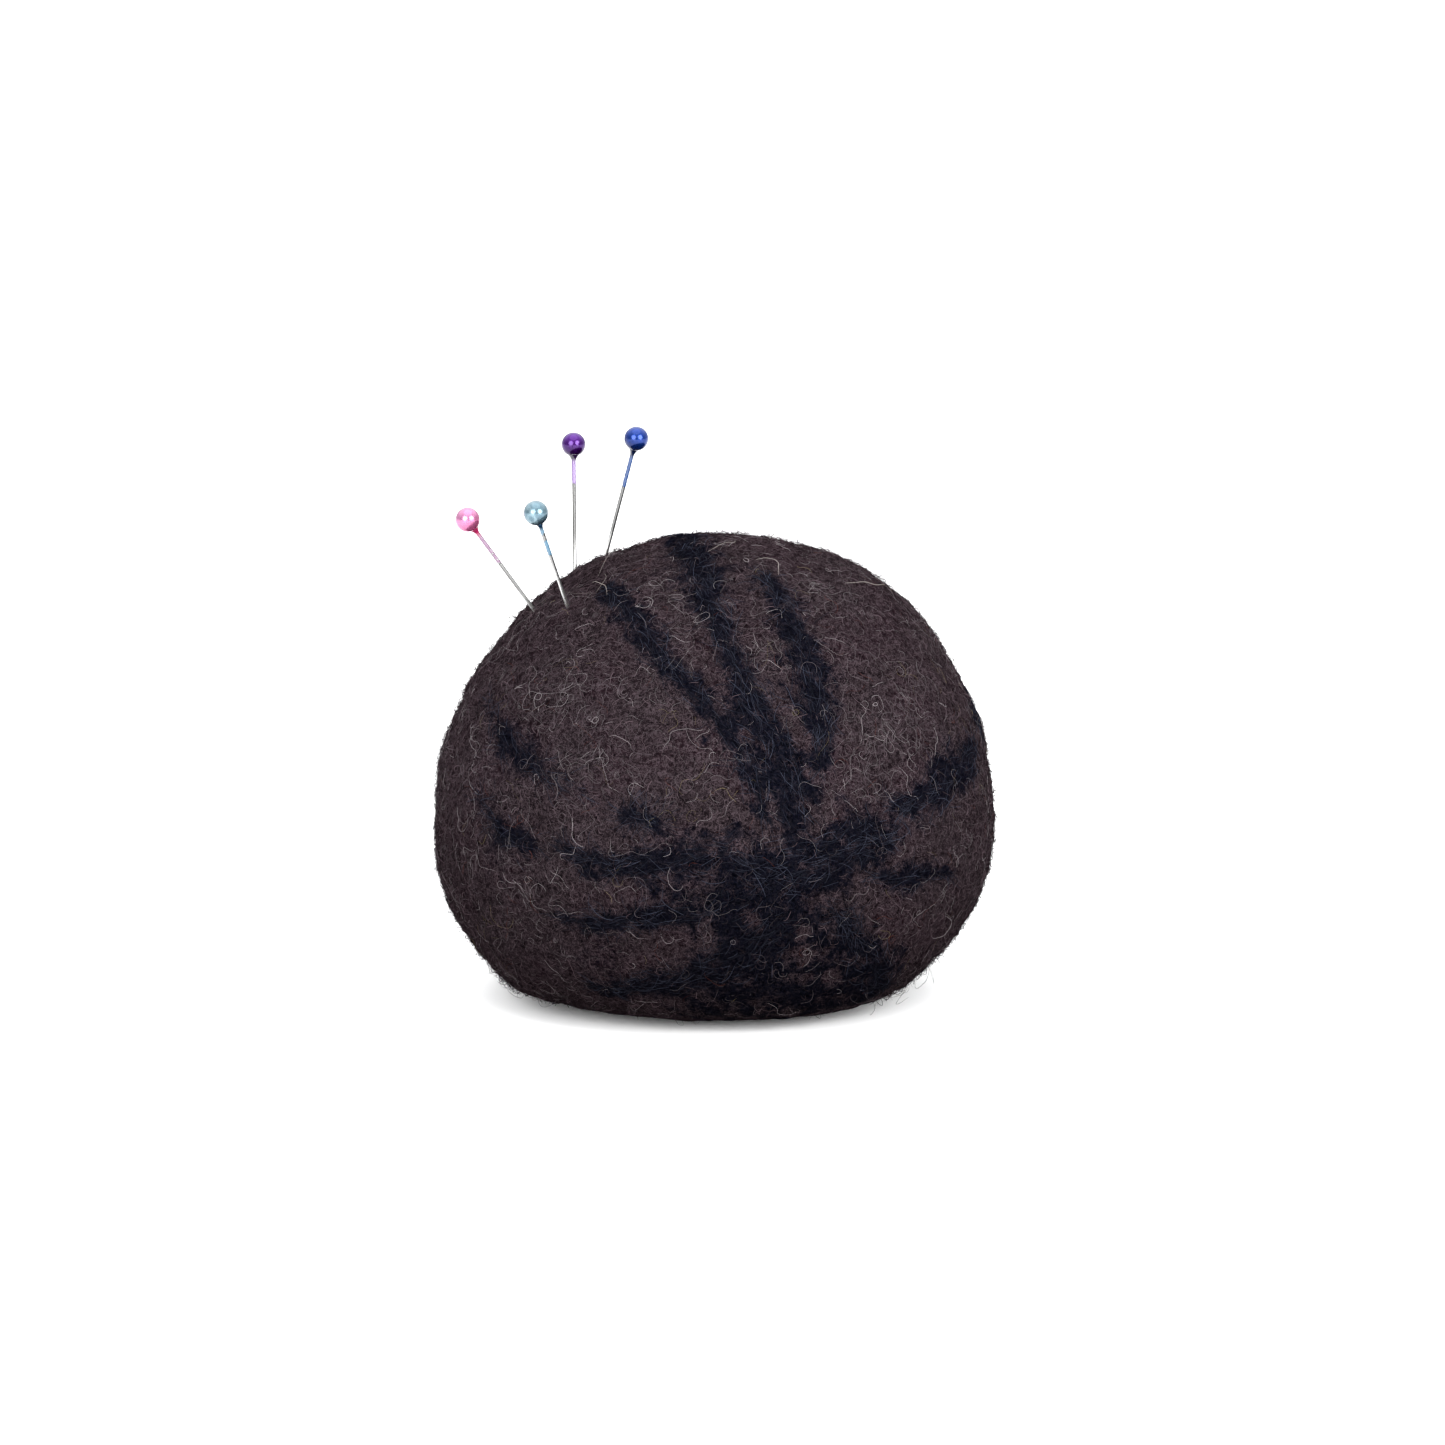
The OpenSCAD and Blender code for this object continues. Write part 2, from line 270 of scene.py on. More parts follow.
def node(tree, kind, inputs=None, **settings):
    made = tree.nodes.new(kind)
    for key, value in settings.items():
        setattr(made, key, value)
    for key, value in (inputs or {}).items():
        if isinstance(value, bpy.types.NodeSocket):
            tree.links.new(value, made.inputs[key])
        else:
            made.inputs[key].default_value = value
    return made


def maths(tree, operation, a, b=0.0, clamp=False):
    return node(tree, "ShaderNodeMath", {0: a, 1: b}, operation=operation, use_clamp=clamp).outputs[0]


def blend_colour(tree, share, a, b, kind="MIX"):
    """Colour a turned into b by share."""
    made = node(tree, "ShaderNodeMix", {"Factor": share}, data_type="RGBA", blend_type=kind)
    for socket, value in ((made.inputs[6], a), (made.inputs[7], b)):
        if isinstance(value, bpy.types.NodeSocket):
            tree.links.new(value, socket)
        else:
            socket.default_value = (*value, 1)
    return made.outputs[2]


def span(tree, value, low, high):
    """0 at low, 1 at high, and smooth between."""
    made = node(tree, "ShaderNodeMapRange", {0: value, 1: low, 2: high}, interpolation_type="SMOOTHSTEP")
    return made.outputs[0]


def new_material(name, **plain):
    """A material with one Principled shader, whose uniform values are set on its own sockets."""
    material = bpy.data.materials.new(name)
    material.use_nodes = True
    tree = material.node_tree
    shader = tree.nodes["Principled BSDF"]
    for key, value in plain.items():
        shader.inputs[key.replace("_", " ").title().replace("Ior", "IOR")].default_value = value
    return material, tree, shader


def stored(tree, name):
    """A number that point_values gave to each point."""
    return node(tree, "ShaderNodeAttribute", attribute_name=name).outputs["Fac"]


def millimetres(tree):
    """The place on the object in millimetres."""
    where = node(tree, "ShaderNodeTexCoord").outputs["Object"]
    return node(tree, "ShaderNodeVectorMath", {0: where, "Scale": 1 / MM}, operation="SCALE").outputs[0]


def noise(tree, where, scale, detail=2.0, roughness=0.5, distortion=0.0):
    made = node(tree, "ShaderNodeTexNoise", {
        "Vector": where, "Scale": scale, "Detail": detail, "Roughness": roughness, "Distortion": distortion})
    return made.outputs


def hair_lines(tree, where, scale, shift, width=0.060):
    """Short thin curling lines, where a warped noise crosses its middle value."""
    moved = node(tree, "ShaderNodeVectorMath", {0: where, 1: shift}, operation="ADD").outputs[0]
    value = noise(tree, moved, scale, 1.0, 0.5, 1.6)["Fac"]
    away = maths(tree, "ABSOLUTE", maths(tree, "SUBTRACT", value, 0.5))
    line = maths(tree, "SUBTRACT", 1.0, maths(tree, "DIVIDE", away, width), clamp=True)
    cut = noise(tree, moved, scale * 0.8, 1.0)["Fac"]
    return maths(tree, "MULTIPLY", line, span(tree, cut, 0.42, 0.58))


# Painted shade: the tint the wool's colour is multiplied by near the ball's base.
PAINTED_SHADE = (0.52, 0.50, 0.50)


def painted_shade_share(tree, where):
    """0 on the upper half of the ball, 1 near its base: how far painted shade darkens the wool there, where
    less light reaches.
    """
    height = node(tree, "ShaderNodeSeparateXYZ", {0: where}).outputs["Z"]
    return node(tree, "ShaderNodeMapRange", {0: height, 1: 42.0, 2: 4.0, 3: 0.0, 4: 1.0}).outputs[0]


def felt_material():
    material, tree, shader = new_material(
        "brown_and_black_felt", roughness=0.95, specular_ior_level=0.0)
    where = millimetres(tree)
    fine = 0.0
    for scale, shift in ((1.0, (0, 0, 0)), (1.4, (31, 17, 5)), (2.0, (7, 43, 19)), (1.7, (3, 11, 67))):
        fine = maths(tree, "MAXIMUM", fine, hair_lines(tree, where, scale, shift))
    grain = noise(tree, where, 2.1, 3.0, 0.8)["Fac"]
    patch = noise(tree, where, 0.09, 2.0)["Fac"]
    tuft = noise(tree, where, 0.8, 3.0, 0.65, 1.0)["Fac"]
    red_brown, grey_brown = (0.0062, 0.0028, 0.0040), (0.0048, 0.0033, 0.0038)
    brown = blend_colour(tree, span(tree, patch, 0.38, 0.62), red_brown, grey_brown)
    # Painted shade in the pits: the brown turns near black where grain, which also lowers the bump, is low.
    brown = blend_colour(tree, span(tree, grain, 0.34, 0.60), (0.0008, 0.0005, 0.0008), brown)
    brown = blend_colour(tree, maths(tree, "MULTIPLY", fine, 0.75), brown, (0.052, 0.038, 0.044))
    # Black wool, blackest where grain is low: painted shade in its pits.
    pit_shade_black, hair_black = (0.0004, 0.0004, 0.0009), (0.0022, 0.0023, 0.0046)
    black = blend_colour(tree, span(tree, grain, 0.35, 0.70), pit_shade_black, hair_black)
    black = blend_colour(tree, maths(tree, "MULTIPLY", fine, 0.40), black, (0.007, 0.008, 0.013))
    share = stored(tree, "wisp")
    share = maths(tree, "ADD", share, maths(tree, "MULTIPLY", maths(tree, "SUBTRACT", tuft, 0.5), 1.1))
    share = maths(tree, "ADD", share, maths(tree, "MULTIPLY", maths(tree, "SUBTRACT", fine, 0.3), -0.4))
    colour = blend_colour(tree, span(tree, share, 0.05, 0.95), brown, black)
    # Painted shade: the wool's colour darkened towards the ball's base.
    colour = blend_colour(tree, painted_shade_share(tree, where), colour, PAINTED_SHADE, "MULTIPLY")
    tree.links.new(colour, shader.inputs["Base Color"])
    height = maths(tree, "ADD", maths(tree, "MULTIPLY", fine, 0.5), grain)
    bump = node(tree, "ShaderNodeBump", {"Height": height, "Strength": 0.7, "Distance": 0.16 * MM})
    tree.links.new(bump.outputs[0], shader.inputs["Normal"])
    return material


def fibre_material(name, dark, light, sheen=0.0):
    """Wool fibres, each a shade of its own between dark and light."""
    material, tree, shader = new_material(
        name, roughness=0.8, specular_ior_level=0.0, sheen_weight=sheen, sheen_roughness=0.4)
    shade = stored(tree, "shade")
    colour = blend_colour(tree, shade, dark, light)
    # Painted shade: the fibres' colour darkened towards the ball's base.
    colour = blend_colour(tree, painted_shade_share(tree, millimetres(tree)), colour, PAINTED_SHADE, "MULTIPLY")
    tree.links.new(colour, shader.inputs["Base Color"])
    return material


# ---------------------------------------------------------------- felt ball

def felt_ball():
    bm = bmesh.new()
    bmesh.ops.create_icosphere(bm, subdivisions=7, radius=1)
    bm.verts.ensure_lookup_table()
    u = unit(np.array([v.co for v in bm.verts]))
    faces = np.array([[v.index for v in f.verts] for f in bm.faces])
    bm.free()
    share = wisp_share(smooth_ball(u))
    points = on_felt(u, share * 0.15 * MM)
    points[:, 2] = np.maximum(points[:, 2], 0)
    ball = new_piece("felt_ball", points, [faces], felt_material())
    point_values(ball, "wisp", share)
    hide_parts("felt_shell")
    return ball


# ---------------------------------------------------------------- fibres

def creep(rng, start, heading, length, steps, bend, kink, lift):
    """Fibres that creep over the felt from a start direction: their points.

    bend is each fibre's own turn in radians for a millimetre, kink how much that changes from step to
    step, and lift the height at each step, one row for each fibre.
    """
    u, h = start, heading
    step = (length / steps)[:, None]
    wiggle = np.zeros(len(u))
    rows = [on_felt(u, lift[:, 0])]
    for s in range(1, steps + 1):
        wiggle = 0.75 * wiggle + kink * rng.normal(0, 1, len(u))
        angle = ((bend + wiggle) * step[:, 0] / MM)[:, None]
        h = h * np.cos(angle) + np.cross(u, h) * np.sin(angle)
        u = unit(u + h * step / BALL_R)
        h = unit(h - u * (u * h).sum(1, keepdims=True))
        rows.append(on_felt(u, lift[:, s]))
    return np.stack(rows, 1)


def tangent(rng, u):
    v = rng.normal(size=u.shape)
    return unit(v - u * (u * v).sum(1, keepdims=True))


def arch(rng, count, steps, height, stray=0.3):
    """Lift rows of fibres that leave the felt and come back to it, with a few ends left standing."""
    t = np.linspace(0, 1, steps + 1)
    top = height * rng.gamma(1.6, 0.6, count)[:, None]
    free = np.where(rng.random(count) < stray, 1.0, 0.0)[:, None]
    return -0.06 * MM + top * (np.sin(math.pi * t) * (1 - free) + free * t)


def fibre_piece(name, rng, paths, radius, material, sides=3):
    rings = paths.shape[1]
    taper = np.interp(np.linspace(0, 1, rings), [0, 0.12, 0.8, 1], [0.45, 1, 1, 0.3])
    radii = radius * rng.uniform(0.75, 1.25, (len(paths), 1)) * taper
    points, faces = tubes(paths, radii, sides)
    piece = new_piece(name, points, faces, material)
    clump = 0.18 * waves(paths[:, 0], 2.2 * MM, 6) + 0.10 * waves(paths[:, 0], 9 * MM, 7)
    shade = np.repeat((rng.beta(1.3, 2.6, len(paths)) * (1 + clump)).clip(0, 1), rings * sides)
    point_values(piece, "shade", shade)
    return piece


def scattered(rng, count, lowest=-0.62):
    """Start directions all over the ball, down to near its base."""
    u = unit(rng.normal(size=(2 * count, 3)))
    return u[u[:, 2] > lowest][:count]


def gathered(rng, count, spots, spread):
    """Start directions bunched round some spots (compass angle, height angle), spread degrees wide."""
    centres = np.array([direction(az, up) for az, up in spots])
    chosen = centres[rng.integers(0, len(spots), count)]
    return unit(chosen + rng.normal(0, math.radians(spread), (count, 3)))


def brown_fuzz(pieces=6, count=6000, steps=5):
    material = fibre_material("brown_fibres", (0.0015, 0.0009, 0.0012), (0.078, 0.056, 0.064))
    for n in range(pieces):
        rng = np.random.default_rng(100 + n)
        u = scattered(rng, count)
        size = len(u)
        length = rng.uniform(1.0, 2.8, size) * MM
        paths = creep(rng, u, tangent(rng, u), length, steps, rng.normal(0, 0.4, size), 0.6,
                      arch(rng, size, steps, 0.36 * MM, 0.45))
        black = wisp_share(paths[:, 2]) * 0.96 > rng.random(size)
        fibre_piece(f"brown_fuzz_{n + 1}", rng, paths[~black], 0.038 * MM, material)


def halo_fuzz(count=9000, steps=3):
    """Short fine hairs that stand off the felt and soften the ball's outline."""
    rng = np.random.default_rng(150)
    u = scattered(rng, count)
    size = len(u)
    length = rng.uniform(0.5, 1.6, size) * MM
    t = np.linspace(0, 1, steps + 1)
    lift = MM * (rng.gamma(2.0, 0.26, size)[:, None].clip(0, 1.3) * t ** 1.4 - 0.08)
    paths = creep(rng, u, tangent(rng, u), length, steps, rng.normal(0, 0.6, size), 0.5, lift)
    material = fibre_material("halo_fibres", (0.0030, 0.0020, 0.0024), (0.060, 0.044, 0.050))
    fibre_piece("halo_fuzz", rng, paths, 0.022 * MM, material)


GOLDEN_SPOTS = [(263, 30), (269, 14), (332, 21), (280, 43), (262, 17), (150, 20), (60, 30), (100, -5)]
PALE_SPOTS = [
    (229, 35), (243, 25), (268, -5), (228, -3), (290, 50), (262, 60), (312, 58), (316, 30), (300, 22),
    (254, 44), (20, 30), (120, 40), (180, 10), (80, 15), (150, -10), (40, 60),
]


def pale_fibres():
    looks = [
        # name, how many, darkest and lightest, mm they rise
        ("grey_fibres_1", 1400, (0.028, 0.022, 0.024), (0.28, 0.25, 0.26), 0.30),
        ("grey_fibres_2", 1400, (0.030, 0.024, 0.026), (0.30, 0.27, 0.28), 0.30),
        ("grey_fibres_3", 1400, (0.020, 0.016, 0.018), (0.13, 0.11, 0.12), 0.85),
        ("golden_fibres", 200, (0.04, 0.031, 0.018), (0.20, 0.158, 0.090), 0.25),
        ("rust_fibres", 200, (0.03, 0.010, 0.008), (0.10, 0.030, 0.02), 0.25),
    ]
    for n, (name, count, dark, light, rise) in enumerate(looks):
        rng = np.random.default_rng(200 + n)
        bunch = gathered(rng, count // 4, GOLDEN_SPOTS if name == "golden_fibres" else PALE_SPOTS, 5)
        u = np.concatenate([scattered(rng, count), bunch])
        size = len(u)
        steps = 20
        length = rng.gamma(3.0, 1.5, size).clip(1.2, 11) * MM
        curl = rng.normal(0, 0.20, size) * np.where(rng.random(size) < 0.12, 7, 1)
        paths = creep(rng, u, tangent(rng, u), length, steps, curl, 0.62,
                      arch(rng, size, steps, rise * MM, 0.18))
        black = wisp_share(paths[:, steps // 2]) * 0.6 > rng.random(size)
        fibre_piece(name, rng, paths[~black], 0.020 * MM, fibre_material(name, dark, light))


# Single long hairs that stand off the ball, listed one by one: where each starts (compass angle and height
# angle), the way it sets off (degrees clockwise from up the ball), its length, its turn in radians for a
# millimetre, and how far it rises in its middle and at its end, in mm
LONG_HAIRS = [
    (200, 56, 95, 9, 0.14, 1.6, 0.0), (207, 62, 80, 8, -0.22, 1.3, 0.2),
    (204, 64, 10, 7, 0.10, 1.2, 3.8), (215, 60, 60, 6, 0.55, 0.9, 0.4),
    (192, 52, 150, 6, 0.30, 0.8, 1.8), (262, 78, 90, 7, 0.35, 1.1, 0.3),
    (300, 74, 110, 8, -0.20, 1.2, 0.6), (330, 60, 130, 7, 0.28, 0.9, 1.4),
    (182, 25, 200, 6, 0.40, 0.9, 1.6), (186, -24, 170, 8, 0.30, 1.6, 2.4),
    (196, -34, 150, 7, -0.45, 1.2, 1.8), (205, -37, 100, 9, 0.30, 1.4, 0.6),
    (342, -30, 200, 9, 0.36, 1.8, 1.2), (336, -36, 160, 8, -0.55, 1.5, 2.2),
    (328, -39, 120, 9, 0.50, 1.1, 0.4), (350, -20, 180, 6, 0.40, 1.0, 2.0),
    (356, 10, 40, 5, 0.50, 0.7, 1.3), (20, 40, 30, 7, 0.30, 1.1, 1.5),
    (60, 30, 70, 8, 0.25, 1.0, 1.6), (100, 50, 10, 8, -0.30, 1.0, 1.2),
    (140, 20, 60, 7, 0.40, 0.9, 1.5), (150, -25, 150, 8, 0.30, 1.3, 1.6),
    (80, -30, 100, 8, -0.35, 1.3, 1.4), (30, -28, 170, 7, 0.42, 1.2, 1.7),
]


def long_hairs():
    rng = np.random.default_rng(250)
    rows = np.array(LONG_HAIRS, float)
    u = np.array([direction(az, up) for az, up in rows[:, :2]])
    north = unit(np.array([0, 0, 1]) - u * u[:, 2:])
    east = np.cross(north, u)
    way = np.radians(rows[:, 2:3])
    steps = 28
    t = np.linspace(0, 1, steps + 1)
    lift = MM * (rows[:, 5:6] * np.sin(math.pi * t) + rows[:, 6:7] * t ** 2 - 0.1 * (1 - t))
    paths = creep(rng, u, north * np.cos(way) + east * np.sin(way), rows[:, 3] * MM, steps, rows[:, 4],
                  0.14, lift)
    paths[..., 2] = np.maximum(paths[..., 2], 0.1 * MM)
    material = fibre_material("long_hairs", (0.05, 0.042, 0.041), (0.38, 0.34, 0.32))
    fibre_piece("long_hairs", rng, paths, 0.027 * MM, material, 5)


def wisp_fibres():
    material = fibre_material("black_fibres", (0.0003, 0.0003, 0.0007), (0.034, 0.037, 0.054))
    for n, name in enumerate(WISPS):
        rng = np.random.default_rng(300 + n)
        line, half = WISP_LINES[name]
        reach = np.linalg.norm(np.diff(line, axis=0), axis=1).sum() * BALL_R
        count = int(np.clip(9 * reach / MM * half.mean() / MM, 160, 2600))
        t = rng.uniform(0, len(line) - 1.001, count)
        i = t.astype(int)
        part = (t - i)[:, None]
        spine = unit(line[i] * (1 - part) + line[i + 1] * part)
        along = unit(line[i + 1] - line[i])
        across = unit(np.cross(spine, along))
        width = half[i] * (1 - part[:, 0]) + half[i + 1] * part[:, 0]
        offset = rng.normal(0, 0.5, count).clip(-1.2, 1.2) * width / BALL_R
        u = unit(spine + across * offset[:, None])
        there = wisp_share(on_felt(u, 0)) + 0.15 > rng.random(count)
        u, along, across, count = u[there], along[there], across[there], there.sum()
        sway = rng.normal(0, 0.35, count)[:, None]
        heading = along * np.cos(sway) + across * np.sin(sway)
        heading *= rng.choice([-1, 1], count)[:, None]
        heading = unit(heading - u * (u * heading).sum(1, keepdims=True))
        steps = 8
        length = rng.uniform(2, 6, count) * MM
        paths = creep(rng, u, heading, length, steps, rng.normal(0, 0.08, count), 0.12,
                      arch(rng, count, steps, 0.22 * MM, 0.15))
        piece = fibre_piece(name.replace("black_", ""), rng, paths, 0.034 * MM, material)
        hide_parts(name)


def core_wool():
    """Coarse wool for the CAD core, which stays as it is inside the felt."""
    material, tree, shader = new_material("core_wool", roughness=1.0)
    cloud = noise(tree, millimetres(tree), 0.6, 4.0, 0.6)["Fac"]
    wool = blend_colour(tree, cloud, (0.05, 0.03, 0.022), (0.12, 0.08, 0.06))
    tree.links.new(wool, shader.inputs["Base Color"])
    core = frame["nodes"]["wool_core"].data
    core.materials.clear()
    core.materials.append(material)


# ---------------------------------------------------------------- pins

def pin_axis(name):
    """The bead's centre and radius, the pin's outward direction, and two directions across it."""
    joint = next(j for j in frame["joints"] if j["child"] == f"{name}_pin")
    out = unit(np.array(joint["axis"], float))
    x = unit(np.cross(out, [0.3, 1, 0.2]))
    y = np.cross(out, x)
    points = node_mesh(f"{name}_pin_bead")[0]
    across = [points @ x, points @ y]
    radius = (across[0].max() - across[0].min()) / 2
    centre = sum(d * (a.max() + a.min()) / 2 for d, a in zip((x, y), across))
    centre = centre + out * ((points @ out).max() - radius)
    return centre, radius, out, x, y


def turned(centre, out, x, y, profile, around=40, wobble=None):
    """A closed body turned about a pin's line. The profile's radii are 0 at both ends, heights run down."""
    profile = np.array(profile)
    turn = 2 * math.pi * np.arange(around) / around
    inner = profile[1:-1]
    radial = np.cos(turn)[:, None] * x + np.sin(turn)[:, None] * y
    height = np.repeat(inner[:, 1][:, None], around, 1)
    if wobble is not None:
        height = height + wobble(inner[:, 1][:, None], turn[None])
    rings = centre + inner[:, 0][:, None, None] * radial + height[..., None] * out
    points = np.concatenate([
        rings.reshape(-1, 3), [centre + profile[0, 1] * out], [centre + profile[-1, 1] * out]])
    i = np.arange(len(inner) * around).reshape(len(inner), around)
    j = np.roll(i, -1, 1)
    walls = np.stack([i[:-1], i[1:], j[1:], j[:-1]], -1).reshape(-1, 4)
    top, bottom = len(points) - 2, len(points) - 1
    first = np.stack([np.full(around, top), i[0], j[0]], -1)
    last = np.stack([np.full(around, bottom), j[-1], i[-1]], -1)
    return points, [walls, first, last]


# How each pin looks. pearl, low and worn_pearl colour the bead, its underside darkened with painted shade,
# and where it is worn paler.
# neck and film colour the lacquer under the bead and down the wire; patchy says how broken the film is, and
# worn_film how far down it has worn through. polish says how far a painted highlight lightens the
# steel's colour where it enters the felt and high up, and the height in mm over which that changes.
PIN_LOOKS = {
    "pink": {
        "pearl": (0.38, 0.145, 0.265), "low": (0.32, 0.042, 0.130),
        "neck": (0.19, 0.008, 0.045), "film": (0.145, 0.080, 0.135), "patchy": 0.30,
        "polish": (0.50, 0.10, 5.0),
    },
    "light_blue": {
        "pearl": (0.090, 0.150, 0.185), "low": (0.006, 0.018, 0.034), "worn_pearl": (0.150, 0.220, 0.255),
        "neck": (0.003, 0.013, 0.030), "film": (0.055, 0.120, 0.180), "patchy": 0.20, "worn_film": 0.46,
        "polish": (1.0, 0.30, 9.0),
    },
    "violet": {
        "pearl": (0.044, 0.002, 0.122), "low": (0.014, 0.001, 0.036),
        "neck": (0.005, 0.001, 0.012), "film": (0.112, 0.054, 0.185), "patchy": 0.05,
        "polish": (0.25, 0.0, 5.0),
    },
    "blue": {
        "pearl": (0.002, 0.022, 0.155), "low": (0.001, 0.006, 0.042),
        "neck": (0.001, 0.004, 0.018), "film": (0.010, 0.036, 0.120), "patchy": 0.10,
        "polish": (0.80, 0.12, 4.0),
    },
}


def pearl_material(name, look):
    """The bead's pearl coating with painted shade darkening it low down, and worn paler in patches if the
    pin's look says so.
    """
    material, tree, shader = new_material(
        f"pearl_{name}", metallic=0.65, roughness=0.24, coat_weight=0.40, coat_roughness=0.05, coat_ior=1.5,
        specular_ior_level=0.2)
    where = millimetres(tree)
    cloud = noise(tree, where, 0.9, 3.0, 0.6, 1.5)["Fac"]
    share = maths(tree, "ADD", stored(tree, "depth"),
                  maths(tree, "MULTIPLY", maths(tree, "SUBTRACT", cloud, 0.5), 0.5))
    # Painted shade: the bead's colour turns darker towards its underside.
    colour = blend_colour(tree, span(tree, share, 0.25, 1.0), look["pearl"], look["low"])
    if "worn_pearl" in look:
        wear = noise(tree, where, 0.40, 2.0, 0.5, 0.6)["Fac"]
        worn = maths(tree, "MULTIPLY", span(tree, wear, 0.50, 0.60), span(tree, share, 0.90, 0.60))
        colour = blend_colour(tree, worn, colour, look["worn_pearl"])
    tree.links.new(colour, shader.inputs["Base Color"])
    fleck = noise(tree, where, 2.5, 2.0)["Fac"]
    bump = node(tree, "ShaderNodeBump", {"Height": fleck, "Strength": 0.1, "Distance": 0.02 * MM})
    tree.links.new(bump.outputs[0], shader.inputs["Normal"])
    return material


def lacquer_material(name, look):
    """The collar's lacquer, dark where it is thick and thin down the wire, where steel shows through."""
    material, tree, shader = new_material(
        f"lacquer_{name}", roughness=0.18, coat_weight=0.6, coat_roughness=0.05)
    down = stored(tree, "depth")
    patchy = look["patchy"]
    colour = blend_colour(tree, span(tree, down, 0.10, 0.30), look["neck"], look["film"])
    spots = noise(tree, millimetres(tree), 2.2, 3.0, 0.6, 0.6)["Fac"]
    more_low_down = maths(tree, "MULTIPLY", maths(tree, "SUBTRACT", down, 0.55), 1.2 * patchy)
    bare = maths(tree, "ADD", spots, more_low_down)
    bare = span(tree, bare, 0.78 - 0.5 * patchy, 0.86 - 0.5 * patchy)
    if "worn_film" in look:
        away = maths(tree, "ABSOLUTE", maths(tree, "SUBTRACT", down, look["worn_film"]))
        ragged = maths(tree, "ADD", away, maths(tree, "MULTIPLY", maths(tree, "SUBTRACT", spots, 0.5), 0.25))
        bare = maths(tree, "MAXIMUM", bare, span(tree, ragged, 0.13, 0.09))
    bare = maths(tree, "MULTIPLY", bare, span(tree, down, 0.22, 0.34))
    tree.links.new(blend_colour(tree, bare, colour, (0.20, 0.199, 0.198)), shader.inputs["Base Color"])
    tree.links.new(bare, shader.inputs["Metallic"])
    return material


def steel_material():
    material, tree, shader = new_material("pin_steel", metallic=1.0, specular_tint=(0.2, 0.2, 0.2, 1))
    streak = noise(tree, millimetres(tree), 3.0, 4.0, 0.6)["Fac"]
    dull = blend_colour(tree, streak, (0.050, 0.049, 0.048), (0.120, 0.119, 0.118))
    # Painted highlight: the stored shade lightens the steel's colour towards near white.
    tree.links.new(blend_colour(tree, stored(tree, "shade"), dull, (0.84, 0.84, 0.83)),
                   shader.inputs["Base Color"])
    rough = node(tree, "ShaderNodeMapRange", {0: streak, 3: 0.22, 4: 0.36}).outputs[0]
    tree.links.new(rough, shader.inputs["Roughness"])
    return material


def bead_piece(name, place, bead_r, look):
    centre, out = place[:2]
    lat = np.linspace(0, math.pi, 33)
    profile = np.stack([bead_r * np.sin(lat), bead_r * np.cos(lat)], 1)
    points, faces = turned(*place, profile, 48)
    piece = new_piece(
        f"{name}_bead", points, faces, pearl_material(name, look), f"{name}_pin")
    # How far down the bead each point is, which sets its painted shade.
    point_values(piece, "depth", 0.5 - ((points - centre) @ out) / (2 * bead_r))
    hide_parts(f"{name}_pin_bead")


def collar_piece(name, place, bead_r, wire_r, seat_z, film_end, look):
    """The lacquer: a neck that narrows from the bead's seat to the wire, and a film down to film_end."""
    centre, out = place[:2]
    film_r = wire_r + 0.03 * MM
    seat_r = math.sqrt(bead_r ** 2 - seat_z ** 2)
    t = np.linspace(0, 1, 12)
    neck_z = 1.3 * MM
    flare = film_r + (seat_r - film_r) * (1 - t) ** 2.2
    heights = seat_z - t * neck_z
    film_z = np.linspace(heights[-1], film_end, 14)[1:]
    bulge = film_r * (1 + 0.05 * np.sin(np.arange(len(film_z)) * 1.9))
    profile = np.concatenate([
        [[0, seat_z + 0.15 * MM], [seat_r * 0.9, seat_z + 0.12 * MM]],
        np.stack([flare, heights], 1), np.stack([bulge, film_z], 1),
        [[film_r * 0.97, film_end - 0.12 * MM], [wire_r * 0.98, film_end - 0.2 * MM],
         [0, film_end - 0.2 * MM]]])

    def uneven(z, turn):
        share = np.clip((z - heights[-1]) / (film_end - heights[-1]), 0, 1)
        return share ** 2 * 0.35 * MM * (np.sin(turn + 1.1) + 0.5 * np.sin(2 * turn + 2.3))

    points, faces = turned(*place, profile, 28, uneven)
    piece = new_piece(
        f"{name}_collar", points, faces, lacquer_material(name, look), f"{name}_pin")
    point_values(piece, "depth", (seat_z - (points - centre) @ out) / (seat_z - film_end))
    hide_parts(f"{name}_pin_collar")


def wire_piece(name, place, wire_r, seat_z, point_z, look, steel):
    """The steel wire, from inside the bead to its ground point."""
    tip = 3 * MM
    grind = np.linspace(0, 1, 8)[::-1]
    profile = np.concatenate([
        [[0, seat_z], [wire_r, seat_z]],
        np.stack([np.full(24, wire_r), np.linspace(seat_z - 0.5 * MM, point_z + tip, 24)], 1),
        np.stack([wire_r * (0.08 + 0.92 * grind ** 0.85), point_z + tip * grind], 1)[1:],
        [[0, point_z]]])
    points, faces = turned(*place, profile, 24)
    piece = new_piece(f"{name}_wire", points, faces, steel, f"{name}_pin")
    felt_below = on_felt(unit(points - MIDDLE), 0)
    clear = np.linalg.norm(points - MIDDLE, axis=1) - np.linalg.norm(felt_below - MIDDLE, axis=1)
    # Painted highlight along the wire, strongest where it enters the felt.
    at_felt, high_up, ramp = look["polish"]
    point_values(piece, "shade", np.interp(clear, [0.2 * ramp * MM, ramp * MM], [at_felt, high_up]))
    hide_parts(f"{name}_pin_wire")


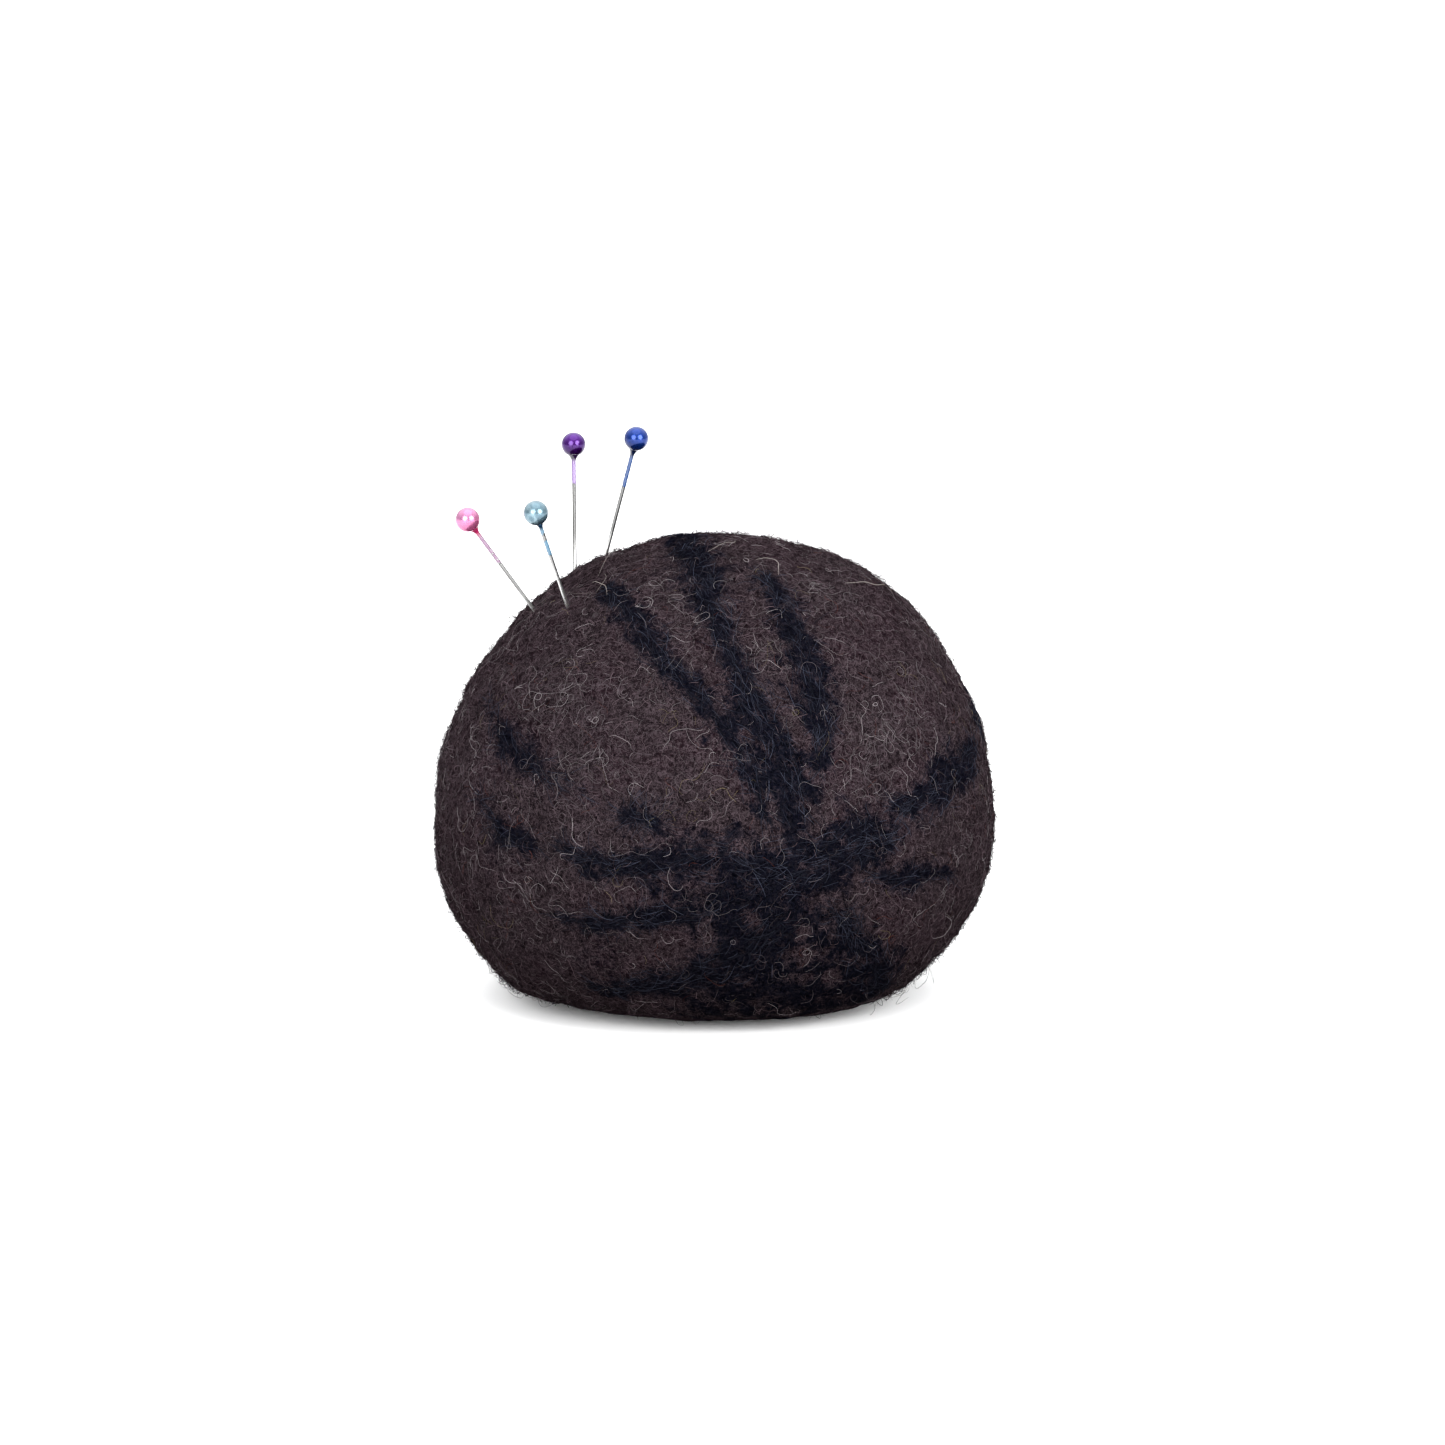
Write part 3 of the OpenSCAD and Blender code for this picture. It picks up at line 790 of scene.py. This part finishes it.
def pin_pieces():
    steel = steel_material()
    for name in PINS:
        centre, bead_r, out, x, y = pin_axis(name)
        place = (centre, out, x, y)
        wire = node_mesh(f"{name}_pin_wire")[0]
        wire_r = np.linalg.norm(np.cross(wire - centre, out), axis=1).max()
        point_z = ((wire - centre) @ out).min()
        collar_z = (node_mesh(f"{name}_pin_collar")[0] - centre) @ out
        seat_z, film_end = collar_z.max(), collar_z.min()
        look = PIN_LOOKS[name]
        bead_piece(name, place, bead_r, look)
        collar_piece(name, place, bead_r, wire_r, seat_z, film_end, look)
        wire_piece(name, place, wire_r, seat_z, point_z, look, steel)


# ---------------------------------------------------------------- stage, light and camera

def stage():
    size = 9.0
    corners = [(-size, -size, 0), (size, -size, 0), (size, size, 0), (-size, size, 0)]
    mesh = bpy.data.meshes.new("floor")
    mesh.from_pydata(corners, [], [(0, 1, 2, 3)])
    material, tree, shader = new_material("floor_paper", roughness=0.9, specular_ior_level=0.1)
    tooth = noise(tree, millimetres(tree), 0.4, 3.0)["Fac"]
    white = blend_colour(tree, tooth, (0.93, 0.93, 0.93), (0.95, 0.95, 0.95))
    tree.links.new(white, shader.inputs["Base Color"])
    mesh.materials.append(material)
    floor = bpy.data.objects.new("floor", mesh)
    bpy.context.scene.collection.objects.link(floor)


def softbox(name, azimuth, elevation, distance, size, power):
    """A round softbox that looks at the ball, azimuth degrees to the right of the camera."""
    a, e = math.radians(azimuth), math.radians(elevation)
    light = bpy.data.lights.new(name, "AREA")
    light.shape = "DISK"
    light.size = size
    light.energy = power
    lamp = bpy.data.objects.new(name, light)
    target = Vector(MIDDLE)
    lamp.location = target + distance * Vector(
        (math.cos(e) * math.sin(a), -math.cos(e) * math.cos(a), math.sin(e)))
    lamp.rotation_euler = (target - lamp.location).to_track_quat("-Z", "Y").to_euler()
    bpy.context.scene.collection.objects.link(lamp)


def lights():
    softbox("softbox_left", -26, 21, 1.5, 1.1, 29)
    softbox("softbox_right", 41, 21, 1.5, 1.1, 36)
    softbox("softbox_top", 0, 80, 1.3, 1.5, 11)
    world = bpy.data.worlds.new("studio")
    bpy.context.scene.world = world
    world.use_nodes = True
    tree = world.node_tree
    there = node(tree, "ShaderNodeTexCoord").outputs["Generated"]
    axes = node(tree, "ShaderNodeSeparateXYZ", {0: there}).outputs
    glow = node(tree, "ShaderNodeMapRange", {0: axes["Z"], 1: 0.25, 2: 0.75, 3: 0.58, 4: 1.6},
                interpolation_type="SMOOTHSTEP").outputs[0]
    behind = node(tree, "ShaderNodeMapRange", {0: axes["Y"], 1: -0.5, 2: 0.5, 3: 0.75, 4: 1.7},
                  interpolation_type="SMOOTHSTEP").outputs[0]
    glow = maths(tree, "MULTIPLY", glow, behind)
    seen = node(tree, "ShaderNodeLightPath").outputs["Is Camera Ray"]
    glow = node(tree, "ShaderNodeMix", {0: seen, 2: glow, 3: 0.98}, data_type="FLOAT").outputs[0]
    tree.links.new(glow, tree.nodes["Background"].inputs["Strength"])
    tree.nodes["Background"].inputs["Color"].default_value = (0.985, 0.99, 1, 1)


def camera():
    distance, elevation = 1.0, math.radians(10)
    seen = 237.8 * MM
    aim = Vector(MIDDLE) + Vector((1.4 * MM, 0, 17.2 * MM))
    data = bpy.data.cameras.new("camera")
    data.sensor_width = 36
    data.lens = data.sensor_width * distance / seen
    data.clip_start = 0.01
    made = bpy.data.objects.new("camera", data)
    made.location = aim + distance * Vector((0, -math.cos(elevation), math.sin(elevation)))
    made.rotation_euler = (aim - made.location).to_track_quat("-Z", "Y").to_euler()
    bpy.context.scene.collection.objects.link(made)
    bpy.context.scene.camera = made
    bpy.context.scene.view_settings.view_transform = "Standard"


camera()
lights()
stage()
felt_ball()
brown_fuzz()
halo_fuzz()
pale_fibres()
long_hairs()
wisp_fibres()
pin_pieces()
core_wool()
